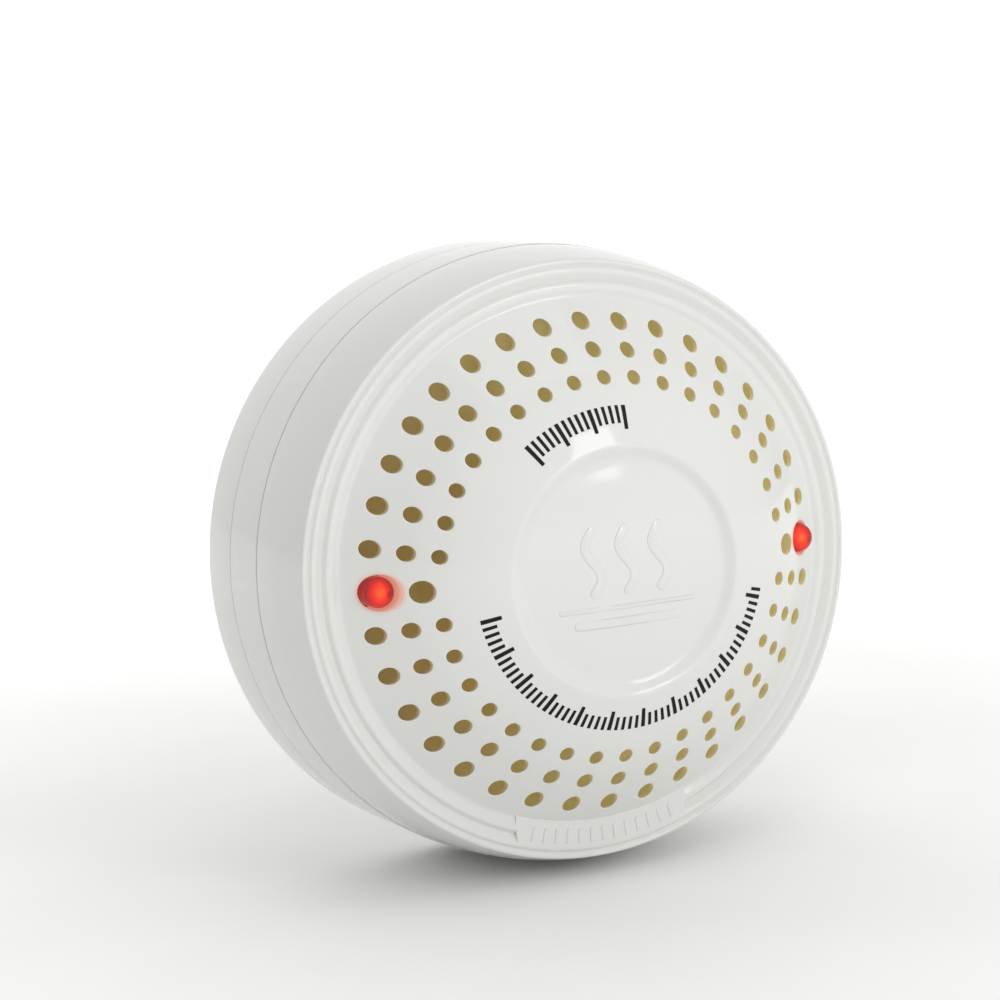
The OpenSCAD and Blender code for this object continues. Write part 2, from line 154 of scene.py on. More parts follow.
def front_height(r, depth=0):
    """Height of the crown and cone at a radius, or of a surface at a depth behind them."""
    arc_r = CROWN_ROUND - depth
    joint_r = CROWN_OFFSET + arc_r * sind(CONE_ANGLE)
    if r > joint_r:
        return CROWN_CENTRE_H + arc_r * cosd(CONE_ANGLE) - (r - joint_r) * tand(CONE_ANGLE)
    return CROWN_CENTRE_H + math.sqrt(arc_r**2 - (r - CROWN_OFFSET)**2)


RIM_H = front_height(FOOT_R)
LAND_H = RIM_H + LAND_RISE
FLOOR_EDGE_R = RECESS_R - 2
FLOOR_EDGE_H = CROWN_H - RECESS_DEPTH


def recess_height(r):
    """Height of the recess's floor, a shallow dome."""
    return FLOOR_EDGE_H + RECESS_RISE * (1 - (r / FLOOR_EDGE_R)**2)


# Shoulder: an arc from the side wall's draft at the seam up to the bead.
SHOULDER_TOP = (RIM_R, RIM_H + 0.2)
SHOULDER_START = DRAFT + 0.6
SHOULDER_MID = math.degrees(math.atan2(SEAM_R - SHOULDER_TOP[0], SHOULDER_TOP[1] - SEAM_H))
SHOULDER_END = 2 * SHOULDER_MID - SHOULDER_START
SHOULDER_ROUND = (SHOULDER_TOP[1] - SEAM_H) / (sind(SHOULDER_END) - sind(SHOULDER_START))
SHOULDER_CENTRE = (SHOULDER_TOP[0] - SHOULDER_ROUND * cosd(SHOULDER_END),
                   SHOULDER_TOP[1] - SHOULDER_ROUND * sind(SHOULDER_END))


# ---- Mesh tools ----

def place(r, angle, h):
    """A place on the detector as a point of the frame."""
    return Vector((r * cosd(angle), -h, r * sind(angle))) * MM


def arc_points(centre, r, start, end, steps):
    """Points (r, h) on an arc between two angles."""
    angles = [start + (end - start) * i / steps for i in range(steps + 1)]
    return [(centre[0] + r * cosd(a), centre[1] + r * sind(a)) for a in angles]


def rounded(corners, step=15):
    """Open outline through corners (r, h, fillet). A fillet is an arc in steps of some degrees,
    and takes at most half of the straight on either side of it."""
    out = [corners[0][:2]]
    for before, corner, after in zip(corners, corners[1:], corners[2:]):
        here = Vector(corner[:2])
        to_before = Vector(before[:2]) - here
        to_after = Vector(after[:2]) - here
        bend = math.pi - to_before.angle(to_after)
        reach = corner[2] * math.tan(bend / 2)
        reach = min(reach, 0.49 * to_before.length, 0.49 * to_after.length)
        if reach < 1e-4:
            out.append(corner[:2])
            continue
        steps = max(2, round(math.degrees(bend) / step))
        start = here + to_before.normalized() * reach
        end = here + to_after.normalized() * reach
        radius = reach / math.tan(bend / 2)
        middle = (to_before.normalized() + to_after.normalized()).normalized()
        centre = here + middle * math.hypot(reach, radius)
        turn = (start - centre).angle_signed(end - centre)
        for i in range(steps + 1):
            point = centre + Matrix.Rotation(-turn * i / steps, 2) @ (start - centre)
            out.append((point.x, point.y))
    return out + [corners[-1][:2]]


def ring(bm, r, h, around=AROUND):
    """A ring of corners about the detector's axis."""
    return [bm.verts.new(place(r, 360 * i / around, h)) for i in range(around)]


def bridge(bm, ring_a, ring_b, finish=OUTSIDE):
    """A strip of four-sided faces between two rings of corners, in one of the piece's finishes."""
    count = len(ring_a)
    for i in range(count):
        j = (i + 1) % count
        face = bm.faces.new((ring_a[i], ring_a[j], ring_b[j], ring_b[i]))
        face.material_index = finish


def lathe(bm, outline, around=AROUND, finish=OUTSIDE):
    """Turns an outline of points (r, h) about the detector's axis."""
    rings = [ring(bm, r, h, around) for r, h in outline]
    for ring_a, ring_b in zip(rings, rings[1:]):
        bridge(bm, ring_a, ring_b, finish)
    return rings


def cap(bm, corners, centre_h, finish=OUTSIDE):
    """Closes a ring with a fan of faces about a point on the axis."""
    middle = bm.verts.new(place(0, 0, centre_h))
    for i, corner in enumerate(corners):
        face = bm.faces.new((corner, corners[(i + 1) % len(corners)], middle))
        face.material_index = finish


def merge_corners(bm):
    """Joins faces where their corners meet, and turns them all outwards."""
    bmesh.ops.remove_doubles(bm, verts=bm.verts, dist=2e-6)
    bmesh.ops.recalc_face_normals(bm, faces=bm.faces)


def smooth(mesh):
    """Smooth shading but for sharp edges and for the faces square to the detector's axis. The
    normals that a copied mesh carries no longer fit it, so they go."""
    carried = mesh.attributes.get("custom_normal")
    if carried:
        mesh.attributes.remove(carried)
    for polygon in mesh.polygons:
        polygon.use_smooth = abs(polygon.normal.y) < 0.9999
    mesh.set_sharp_from_angle(angle=math.radians(35))


def linked_object(name, bm):
    """Turns a bmesh into an object in the scene."""
    merge_corners(bm)
    mesh = bpy.data.meshes.new(name)
    bm.to_mesh(mesh)
    bm.free()
    made = bpy.data.objects.new(name, mesh)
    bpy.context.scene.collection.objects.link(made)
    return made


def add_piece(name, bm, finishes, body="head", replaces=()):
    """Turns a bmesh into a piece that rides on a body."""
    piece = linked_object(name, bm)
    smooth(piece.data)
    for finish in finishes:
        piece.data.materials.append(finish)
    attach(piece, body)
    if replaces:
        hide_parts(*replaces)
    return piece


def bevel_edges(bm, width, segments=3):
    """Rounds every edge that turns through more than 30 degrees."""
    merge_corners(bm)
    limit = math.radians(30)
    edges = [e for e in bm.edges if len(e.link_faces) == 2 and e.calc_face_angle() > limit]
    bmesh.ops.bevel(bm, geom=edges, offset=width * MM, segments=segments, profile=0.5,
                    affect="EDGES", clamp_overlap=True)


def combine(target, tools, operation="UNION"):
    """Joins the tools to the target as one closed skin, or keeps what they share."""
    for tool in tools:
        modifier = target.modifiers.new("combine", "BOOLEAN")
        modifier.operation = operation
        modifier.solver = "MANIFOLD"
        modifier.object = tool
    depsgraph = bpy.context.evaluated_depsgraph_get()
    joined = bpy.data.meshes.new_from_object(target.evaluated_get(depsgraph))
    target.modifiers.clear()
    target.data = joined
    for tool in tools:
        bpy.data.objects.remove(tool)
    smooth(joined)


def flat(r, angle):
    """A point (x, z) in the plane of the face."""
    return Vector((r * cosd(angle), r * sind(angle)))


def patch_block(bm, where, height, depth, raise_by, cells):
    """A closed patch that follows a surface, from depth below it to raise_by above it. Its
    outline comes from where(s, t), and the surface's height from the radius."""
    grid = {}
    for i in range(cells[0] + 1):
        for j in range(cells[1] + 1):
            p = where(i / cells[0], j / cells[1])
            for level, lift in enumerate((-depth, raise_by)):
                corner = Vector((p.x, -height(p.length) - lift, p.y)) * MM
                grid[i, j, level] = bm.verts.new(corner)
    for i in range(cells[0]):
        for j in range(cells[1]):
            for level in (0, 1):
                bm.faces.new([grid[c + (level,)] for c in
                              ((i, j), (i + 1, j), (i + 1, j + 1), (i, j + 1))])
    border = ([(i, 0) for i in range(cells[0])] + [(cells[0], j) for j in range(cells[1])]
              + [(i, cells[1]) for i in range(cells[0], 0, -1)]
              + [(0, j) for j in range(cells[1], 0, -1)])
    bridge(bm, [grid[c + (0,)] for c in border], [grid[c + (1,)] for c in border])


def sector(radii, angles):
    """Outline of a patch between two radii and two angles."""
    def where(s, t):
        return flat(radii[0] + (radii[1] - radii[0]) * s, angles[0] + (angles[1] - angles[0]) * t)
    return where


def ribbon(bm, path, half_width, height, depth, raise_by):
    """A closed strip with round ends along points (x, z), on a surface given by its radius."""
    points = [Vector(p) for p in path]
    left, right = [], []
    for i, point in enumerate(points):
        along = (points[min(i + 1, len(points) - 1)] - points[max(i - 1, 0)]).normalized()
        side = Vector((-along.y, along.x)) * half_width
        left.append(point + side)
        right.append(point - side)

    def round_end(start, centre):
        arm = start - centre
        return [centre + Matrix.Rotation(math.radians(-a), 2) @ arm for a in range(20, 180, 20)]

    loop = left + round_end(left[-1], points[-1]) + right[::-1] + round_end(right[0], points[0])
    low, high = [], []
    for p in loop:
        h = height(p.length)
        low.append(bm.verts.new(Vector((p.x, -h + depth, p.y)) * MM))
        high.append(bm.verts.new(Vector((p.x, -h - raise_by, p.y)) * MM))
    bridge(bm, low, high)
    bm.faces.new(low)
    bm.faces.new(high[::-1])


# ---- Materials ----

def node_maker(tree):
    """A helper that adds a node to a tree, with its inputs linked to sockets or set to values."""
    def node(kind, inputs=None, **settings):
        added = tree.nodes.new(kind)
        for key, value in settings.items():
            setattr(added, key, value)
        for key, value in (inputs or {}).items():
            if isinstance(value, bpy.types.NodeSocket):
                tree.links.new(value, added.inputs[key])
            else:
                added.inputs[key].default_value = value
        return added
    return node


def material(name):
    """A new material, as (material, shader, node helper)."""
    made = bpy.data.materials.new(name)
    made.use_nodes = True
    return made, made.node_tree.nodes["Principled BSDF"], node_maker(made.node_tree)


def noise(node, scale, detail=3):
    """Noise in the object's own space, with the scale in features per millimetre."""
    where = node("ShaderNodeTexCoord").outputs["Object"]
    made = node("ShaderNodeTexNoise", {"Vector": where, "Scale": scale / MM, "Detail": detail})
    return made.outputs["Fac"]


def ramp(node, value, *stops):
    """Colours along a value: stops are (position, colour)."""
    made = node("ShaderNodeValToRGB", {"Fac": value})
    elements = made.color_ramp.elements
    for position, colour in stops[2:]:
        elements.new(position)
    for element, (position, colour) in zip(elements, sorted(stops)):
        element.position = position
        element.color = (*colour, 1)
    return made.outputs["Color"]


def mix(node, factor, colour, other, blend_type="MIX"):
    """Blends a colour with another. The other is a socket or a value."""
    made = node("ShaderNodeMix", {"Factor": factor, 6: colour, 7: other}, data_type="RGBA",
                blend_type=blend_type)
    return made.outputs[2]


def spread(node, value, low, high, start=0.3, end=0.7):
    """From low to high as the value goes from start to end, and level outside them."""
    made = node("ShaderNodeMapRange", {"Value": value, "From Min": start, "From Max": end,
                                       "To Min": low, "To Max": high})
    return made.outputs["Result"]


def bump(node, height, strength, distance):
    """A normal that follows a fine relief, and that rounds the mesh's sharp edges a little."""
    edges = node("ShaderNodeBevel", {"Radius": 0.12 * MM}, samples=4).outputs[0]
    made = node("ShaderNodeBump", {"Height": height, "Strength": strength,
                                   "Distance": distance * MM, "Normal": edges})
    return made.outputs["Normal"]


def shade(colour, factor):
    """A colour made lighter or darker."""
    return tuple(min(1, c * factor) for c in colour)


def mottled(name, colour, roughness, metallic=0, grain=2, contrast=0.06, glow=(0, 0, 0)):
    """A plain moulded or metal finish: slight mottling, uneven gloss and a fine grain. The glow is
    painted light, an emission that stands in for the light that soaks through thin plastic."""
    made, shader, node = material(name)
    link = made.node_tree.links.new
    fine = noise(node, grain, 4)
    link(ramp(node, noise(node, grain / 20), (0.3, shade(colour, 1 - contrast)),
              (0.7, shade(colour, 1 + contrast))), shader.inputs["Base Color"])
    link(spread(node, fine, roughness * 0.85, roughness * 1.15), shader.inputs["Roughness"])
    link(bump(node, fine, 0.3, 0.01), shader.inputs["Normal"])
    shader.inputs["Metallic"].default_value = metallic
    shader.inputs["Emission Color"].default_value = (*glow, 1)
    shader.inputs["Emission Strength"].default_value = 1
    return made


def from_lamp(node):
    """Place seen from the axis of the nearer lamp, as (across, height, up) sockets."""
    where = node("ShaderNodeTexCoord").outputs["Object"]
    axes = node("ShaderNodeSeparateXYZ", {"Vector": where}).outputs
    side = node("ShaderNodeMath", {0: axes["X"]}, operation="SIGN").outputs[0]
    lamp_x = node("ShaderNodeMath", {0: side, 1: LAMP_R * MM}, operation="MULTIPLY").outputs[0]
    across = node("ShaderNodeMath", {0: axes["X"], 1: lamp_x}, operation="SUBTRACT").outputs[0]
    return across, axes["Y"], axes["Z"]


def distance(node, sockets, point):
    """Distance of a place, given as three sockets, from a point in metres."""
    here = node("ShaderNodeCombineXYZ", dict(enumerate(sockets))).outputs[0]
    made = node("ShaderNodeVectorMath", {0: here, 1: point}, operation="DISTANCE")
    return made.outputs["Value"]


def painted_lamp_light(node):
    """Mask of the painted lamp light: 1 at the edge of the lamps' openings, falling to 0 a little way
    outside them.
    """
    across, _, up = from_lamp(node)
    away = distance(node, (across, up), (0, 0, 0))
    edge = LAMP_OPENING[1] / 2 * MM
    return spread(node, away, 1, 0, edge, edge + 0.7 * MM)


def shell_plastic(name, colour, painted_light=False):
    """Moulded ABS: gloss with a faint flow mottle, fine grain and a few specks. With painted light, a
    pink pool of the lamps' red light is painted into the colour round their openings."""
    made, shader, node = material(name)
    link = made.node_tree.links.new
    cloud = noise(node, 0.03, 4)
    grain = noise(node, 3, 4)
    tones = ramp(node, cloud, (0.35, shade(colour, 0.985)), (0.65, colour))
    specks = ramp(node, noise(node, 1.3, 2), (0.79, (1, 1, 1)), (0.83, (0.72, 0.7, 0.66)))
    tones = mix(node, 0.35, tones, specks, "MULTIPLY")
    if painted_light:
        # Painted light: the lamps' red glow, painted as a pink tint round their openings.
        painted_lamp_halo = node("ShaderNodeMath", {0: painted_lamp_light(node), 1: 2}, operation="POWER").outputs[0]
        tones = mix(node, painted_lamp_halo, tones, (0.8, 0.55, 0.48, 1))
    link(tones, shader.inputs["Base Color"])
    link(spread(node, grain, 0.055, 0.085), shader.inputs["Roughness"])
    link(bump(node, grain, 0.1, 0.002), shader.inputs["Normal"])
    shader.inputs["Specular IOR Level"].default_value = 0.35
    return made


def ink(name):
    """Matt black print, a little uneven."""
    made, shader, node = material(name)
    link = made.node_tree.links.new
    cover = noise(node, 2.5, 4)
    link(ramp(node, cover, (0.3, (0.003, 0.004, 0.003)), (0.75, (0.01, 0.011, 0.01))),
         shader.inputs["Base Color"])
    link(spread(node, cover, 0.5, 0.7), shader.inputs["Roughness"])
    shader.inputs["Specular IOR Level"].default_value = 0.2
    return made


def inside_with_painted_light(name, colour, painted_light):
    """ABS behind the vents, with painted light: an emission that stands in for the light that comes
    in through them. That light falls mostly to the right, so the three painted glows are for the
    left, the middle and the right of the detector."""
    made, shader, node = material(name)
    link = made.node_tree.links.new
    fine = noise(node, 2.5, 4)
    tones = ramp(node, noise(node, 0.12), (0.3, shade(colour, 0.96)), (0.7, shade(colour, 1.03)))
    link(tones, shader.inputs["Base Color"])
    where = node("ShaderNodeTexCoord").outputs["Object"]
    across = node("ShaderNodeSeparateXYZ", {"Vector": where}).outputs["X"]
    across = spread(node, across, 0, 1, -42 * MM, 42 * MM)
    link(ramp(node, across, *zip((0, 0.5, 1), painted_light)), shader.inputs["Emission Color"])
    shader.inputs["Emission Strength"].default_value = 1
    link(spread(node, fine, 0.3, 0.4), shader.inputs["Roughness"])
    link(bump(node, fine, 0.3, 0.01), shader.inputs["Normal"])
    return made


def lamp_epoxy(name):
    """Lit red epoxy: orange over the die, deep red round it, with the dark post on one side."""
    made, shader, node = material(name)
    link = made.node_tree.links.new
    across, height, up = from_lamp(node)
    haze = noise(node, 0.7, 2)
    die = (-0.6 * MM, -(LAMP_TOP - 0.2) * MM, 0.1 * MM)
    post = (1 * MM, -(LAMP_TOP - 0.4) * MM, -0.2 * MM)
    stretched = node("ShaderNodeMath", {0: up, 1: 0.7}, operation="MULTIPLY").outputs[0]
    from_die = distance(node, (across, height, stretched), die)
    from_die = node("ShaderNodeMath", {0: haze, 1: 0.8 * MM, 2: from_die},
                    operation="MULTIPLY_ADD").outputs[0]
    reach = spread(node, from_die, 0, 1, 0.5 * MM, 2.9 * MM)
    glow = ramp(node, reach, (0, (1, 0.17, 0.03)), (0.3, (1, 0.065, 0.035)),
                (0.6, (0.72, 0.035, 0.025)), (1, (0.28, 0.02, 0.02)))
    from_post = distance(node, (across, height, up), post)
    on_post = spread(node, from_post, 0.75, 0, 0.3 * MM, 0.85 * MM)
    glow = mix(node, on_post, glow, (0.3, 0.025, 0.025, 1))
    link(glow, shader.inputs["Emission Color"])
    link(ramp(node, haze, (0.3, (0.05, 0.002, 0.002)), (0.7, (0.08, 0.003, 0.003))),
         shader.inputs["Base Color"])
    link(spread(node, haze, 0.12, 0.18), shader.inputs["Roughness"])
    shader.inputs["Specular IOR Level"].default_value = 0.12
    shader.inputs["Emission Strength"].default_value = 0.95
    return made


def solder_mask(name):
    """Green board: copper tracks show as slightly raised, lighter lines under the mask."""
    made, shader, node = material(name)
    link = made.node_tree.links.new
    where = node("ShaderNodeTexCoord").outputs["Object"]
    tracks = node("ShaderNodeTexBrick", {"Vector": where, "Scale": 0.12 / MM, "Mortar Size": 0.06,
                                         "Mortar Smooth": 0.3, "Color1": (0, 0, 0, 1),
                                         "Color2": (0, 0, 0, 1), "Mortar": (1, 1, 1, 1)})
    track = tracks.outputs["Fac"]
    link(ramp(node, track, (0.2, (0.02, 0.13, 0.06)), (0.8, (0.05, 0.24, 0.1))),
         shader.inputs["Base Color"])
    link(spread(node, noise(node, 2), 0.25, 0.4), shader.inputs["Roughness"])
    link(bump(node, track, 0.5, 0.03), shader.inputs["Normal"])
    return made


SHELL = shell_plastic("abs_white", (0.71, 0.715, 0.69), painted_light=True)
SHELL_BASE = shell_plastic("abs_white_base", (0.73, 0.725, 0.695))
# Painted light and shade: the white ABS behind the vents is drawn tan, for the warm light from the
# baffle and the shade in the holes, and its painted glow grows to the right.
INSIDE = inside_with_painted_light("abs_white_inside_painted_light", (0.5, 0.43, 0.26),
                    ((0.02, 0.01, 0), (0.12, 0.1, 0.045), (0.24, 0.21, 0.11)))
# Painted light: the collar's salmon colour and glow stand in for the lamps' red light on white ABS.
COLLAR = mottled("abs_white_painted_lamp_light", (0.7, 0.48, 0.4), 0.4, grain=2.5, contrast=0.03,
                 glow=(0.38, 0.2, 0.15))
# The baffle's cream is its own colour; its painted glow grows to the right, for the light that comes
# in through the vents.
BAFFLE = inside_with_painted_light("abs_cream", (0.59, 0.52, 0.26),
                    ((0.085, 0.045, 0.015), (0.11, 0.095, 0.035), (0.18, 0.16, 0.075)))
INK = ink("black_ink")
EPOXY = lamp_epoxy("red_epoxy")

# Finishes of the frame's own nodes, by their slots in the record.
FINISHES = {
    "nickel": mottled("nickel_plate", (0.66, 0.65, 0.61), 0.3, 1, grain=4),
    "brass": mottled("brass", (0.72, 0.52, 0.22), 0.3, 1, grain=4),
    "board": solder_mask("solder_mask"),
    "black": mottled("black_epoxy", (0.02, 0.02, 0.022), 0.45, grain=4, contrast=0.15),
    "capacitor_sleeve": mottled("blue_sleeve", (0.03, 0.06, 0.16), 0.35),
    "resistor_body": mottled("resistor_lacquer", (0.62, 0.48, 0.28), 0.4),
    "ceramic": mottled("ceramic_coat", (0.6, 0.3, 0.08), 0.4),
    "thermistor_bead": mottled("glass_bead", (0.06, 0.04, 0.03), 0.2),
    "spacer": mottled("nylon", (0.82, 0.79, 0.7), 0.45),
    "label": mottled("label_film", (0.85, 0.85, 0.82), 0.4, grain=3, contrast=0.02),
    "shell": SHELL_BASE,
    "baffle": BAFFLE,
    "lamp_red": EPOXY,
}


# ---- Front cover ----

def stations():
    """Radii at which the perforated zone is divided, so that neighbouring cells share corners."""
    out = []
    edges = sorted({*ROW_EDGES, *LARGE_EDGES})
    for start, end in zip(edges, edges[1:]):
        parts = round((end - start) / CELL_STEP)
        out += [start + (end - start) * i / parts for i in range(parts)]
    return out + [edges[-1]]


STATIONS = stations()


def cell_border(radii, angle):
    """Places (r, angle) round a cell: out along one side, across, back in, and across."""
    near = [r for r in STATIONS if radii[0] - 1e-6 <= r <= radii[1] + 1e-6]
    half = VENT_PITCH / 2
    turns = [-half + VENT_PITCH * i / 8 for i in range(9)]
    border = [(r, angle - half) for r in near[:-1]]
    border += [(near[-1], angle + t) for t in turns[:-1]]
    border += [(r, angle + half) for r in near[:0:-1]]
    return border + [(near[0], angle + t) for t in turns[:0:-1]]


def perforated_cell(bm, radii, angle, hole, wall_finish):
    """One cell of the cover: its outside and inside with a round-edged hole between them."""
    hole_radius = hole[1] / 2
    centre = flat(hole[0], angle)
    border = [flat(*p) for p in cell_border(radii, angle)]

    def row(points, depth, drop=0):
        return [bm.verts.new(Vector((p.x, drop - front_height(p.length, depth), p.y)) * MM)
                for p in points]

    def about_hole(radius):
        return [centre + (p - centre).normalized() * radius for p in border]

    def strips(rows, finish):
        for row_a, row_b in zip(rows, rows[1:]):
            bridge(bm, row_a, row_b, finish)

    edge = about_hole(hole_radius)
    between = [a * 0.55 + b * 0.45 for a, b in zip(edge, border)]
    skin = [row(points, 0) for points in (border, between, edge)]
    for turn in (30, 60, 90):
        rim = about_hole(hole_radius - EDGE_ROUND * sind(turn))
        skin.append(row(rim, 0, EDGE_ROUND * (1 - cosd(turn))))
    back = row(about_hole(hole_radius - EDGE_ROUND), VENT_WALL)
    strips(skin, OUTSIDE)
    strips([skin[-1], back], wall_finish)
    strips([back, row(border, VENT_WALL)], BEHIND)


def perforated_zone(bm):
    """All the cells: three vents at each angle, or a large vent and the opening for a lamp."""
    for angle in range(0, 360, VENT_PITCH):
        if angle in LAMP_ANGLES.values():
            cells = zip(LARGE_EDGES, LARGE_EDGES[1:], (LARGE_VENT, LAMP_OPENING))
        else:
            cells = zip(ROW_EDGES, ROW_EDGES[1:], VENT_ROWS)
        for start, end, hole in cells:
            wall_finish = LAMP_LIGHT_PAINTED if hole == LAMP_OPENING else BEHIND
            perforated_cell(bm, (start, end), angle, hole, wall_finish)


def rim_outline():
    """From the outer edge of the vents over the lands, the bead and the shoulder to the seam."""
    start = ROW_EDGES[-1]
    foot_r = FOOT_R - 0.3
    groove = OUTER_LAND[1] + 0.45
    bead = (SHOULDER_TOP[0] - BEAD_R * cosd(SHOULDER_END),
            SHOULDER_TOP[1] - BEAD_R * sind(SHOULDER_END))
    outline = rounded([
        (start, front_height(start), 0), (foot_r, front_height(foot_r), 1),
        (INNER_LAND[0], LAND_H, 1.2), (INNER_LAND[1], LAND_H, 0.5),
        (INNER_LAND[1] + LAND_FALL, RIM_H, 0.4), (OUTER_LAND[0] - 1.2, RIM_H, 0.7),
        (OUTER_LAND[0], LAND_H, 1.5), (OUTER_LAND[1], LAND_H, 0.4),
        (groove, LAND_H - 0.5, 0.15), (bead[0] - BEAD_R * 0.8, bead[1] + BEAD_R * 0.6, 0)], 8)
    outline += arc_points(bead, BEAD_R, 130, SHOULDER_END, 8)
    outline += arc_points(SHOULDER_CENTRE, SHOULDER_ROUND, SHOULDER_END, SHOULDER_START, 14)[1:]
    return outline + rounded([(SEAM_R, SEAM_H + 0.4, 0), (SEAM_R, SEAM_H, 0.1),
                              (SEAM_R - WALL / 2, SEAM_H, 0)])[1:]


def rim_inside():
    """From the seam up behind the shoulder and the rim to the outer edge of the vents."""
    start = ROW_EDGES[-1]
    inner_foot = FOOT_R + (WALL - VENT_WALL / cosd(CONE_ANGLE)) / tand(CONE_ANGLE)
    outline = [(SEAM_R - WALL / 2, SEAM_H), (SEAM_R - WALL, SEAM_H)]
    outline += arc_points(SHOULDER_CENTRE, SHOULDER_ROUND - WALL, SHOULDER_START,
                          SHOULDER_END - 3, 8)
    return outline + [(inner_foot, RIM_H - WALL), (start, front_height(start, VENT_WALL))]


def crown_outline():
    """From the inner edge of the vents over the crown's edge to the centre of the recess."""
    lip, step, floor = RECESS_R + 1.4, RECESS_R + 0.15, FLOOR_EDGE_R - 1.2
    outline = [(r, front_height(r)) for r in (ROW_EDGES[0], *range(28, 21, -1))]
    outline += rounded([(lip, front_height(lip), 0), (step, front_height(step) - 0.01, 2),
                        (FLOOR_EDGE_R + 0.2, FLOOR_EDGE_H, 2.4), (floor, recess_height(floor), 0)], 4)
    return outline + [(r, recess_height(r)) for r in (15.5, *range(14, 0, -2), 0.8)]


def crown_inside():
    """From the inner edge of the vents to the centre, behind the crown."""
    start = ROW_EDGES[0]
    inner_top = FLOOR_EDGE_H - WALL
    arc_r = CROWN_ROUND - VENT_WALL
    edge_r = CROWN_OFFSET + math.sqrt(arc_r**2 - (inner_top - CROWN_CENTRE_H)**2)
    steps = 6
    outline = [(r, front_height(r, VENT_WALL)) for r in
               (start + (edge_r - start) * i / steps for i in range(steps + 1))]
    return outline + [(8, inner_top), (0.8, inner_top)]


def hook_tool():
    """Four hooks inside the cover that hold it on the housing's lip."""
    bm = bmesh.new()
    top = RIM_H - WALL + 0.5
    for angle in (45, 135, 225, 315):
        arm = sector((LIP_R - 1.8, LIP_R - 0.3), (angle - 5, angle + 5))
        patch_block(bm, arm, lambda r: LIP_H, 0, top - LIP_H, (1, 8))
    return linked_object("hook_tool", bm)


def collar_tool(angle):
    """A tube behind the opening for a lamp."""
    bm = bmesh.new()
    inner = LAMP_OPENING[1] / 2 + 0.03
    outer = inner + COLLAR_WALL

    def tube_ring(radius, at_top):
        points = [flat(LAMP_R, angle) + flat(radius, 7.5 * i) for i in range(48)]
        heights = [front_height(p.length, VENT_WALL / 2) if at_top else COLLAR_BOTTOM for p in points]
        return [bm.verts.new(Vector((p.x, -h, p.y)) * MM) for p, h in zip(points, heights)]

    rings = [tube_ring(inner, False), tube_ring(outer, False), tube_ring(outer, True),
             tube_ring(inner, True)]
    finishes = (BEHIND, BEHIND, BEHIND, LAMP_LIGHT_PAINTED)
    for ring_a, ring_b, finish in zip(rings, rings[1:] + rings[:1], finishes):
        bridge(bm, ring_a, ring_b, finish)
    return linked_object("collar_tool", bm)


def pad_tool():
    """Raised pad over the rim at 6 o'clock: upright ends, round edges, flush with the lands."""
    bm = bmesh.new()
    inner, outer = FOOT_R - 0.8, OUTER_LAND[1] - 0.05

    def where(s, t):
        r = inner + (outer - inner) * s
        x = PAD_WIDTH * (t - 0.5)
        return Vector((x, -math.sqrt(r**2 - x**2)))

    patch_block(bm, where, lambda r: LAND_H + 0.02, 1.3, 0, (6, 48))
    bevel_edges(bm, 0.15)
    return linked_object("pad_tool", bm)


def pad_ribs_tool():
    """Small raised ribs on the pad."""
    bm = bmesh.new()
    count = 13
    for i in range(count):
        angle = 270 + (i - (count - 1) / 2) * 2.7
        rib = sector((44.9, 47.3), (angle - 0.35, angle + 0.35))
        patch_block(bm, rib, lambda r: LAND_H, 0.1, 0.11, (2, 2))
    bevel_edges(bm, 0.05, 2)
    return linked_object("pad_ribs_tool", bm)


def emblem_tool():
    """Raised heat waves over two bars in the recess."""
    bm = bmesh.new()
    depth, raise_by = 0.15, 0.07
    for x in (-6, 0, 6):
        wave = [(x + 1.3 * sind(36 * t), -3 + t) for t in [i * 0.5 for i in range(21)]]
        ribbon(bm, wave, 0.75, recess_height, depth, raise_by)
    thin_bar = [(x, -5.6) for x in range(-12, 13, 2)]
    thick_bar = [(x, -8) for x in range(-9, 10, 2)]
    ribbon(bm, thin_bar, 0.35, recess_height, depth, raise_by)
    ribbon(bm, thick_bar, 0.75, recess_height, depth, raise_by)
    bevel_edges(bm, 0.05, 2)
    return linked_object("emblem_tool", bm)


def front_cover():
    """The cover as one skin, with what stands on it and behind it joined to it."""
    bm = bmesh.new()
    perforated_zone(bm)
    lathe(bm, rim_outline())
    lathe(bm, rim_inside(), finish=BEHIND)
    top = lathe(bm, crown_outline())
    cap(bm, top[-1], recess_height(0))
    inside = lathe(bm, crown_inside(), finish=BEHIND)
    cap(bm, inside[-1], FLOOR_EDGE_H - WALL, finish=BEHIND)
    piece = add_piece("front_cover_shell", bm, [SHELL, INSIDE, COLLAR],
                      replaces=["front_cover"])
    collars = [collar_tool(angle) for angle in sorted(LAMP_ANGLES.values())]
    combine(piece, [pad_tool(), pad_ribs_tool(), emblem_tool(), hook_tool(), *collars])


# ---- Printed marks ----

def printed_scale(name, angles, radii, count):
    """A scale of fine radial ticks printed on the crown, every fifth one longer."""
    bm = bmesh.new()
    for i in range(count):
        angle = angles[0] + (angles[1] - angles[0]) * i / (count - 1)
        long = i % 5 == 0
        start = radii[0] if long else radii[0] + 1
        half = 0.8 if long else 0.64
        tick = sector((start, radii[1]), (angle - half, angle + half))
        patch_block(bm, tick, front_height, 0.06, 0.02, (4, 2))
    add_piece(name, bm, [INK])


# ---- Lamps ----

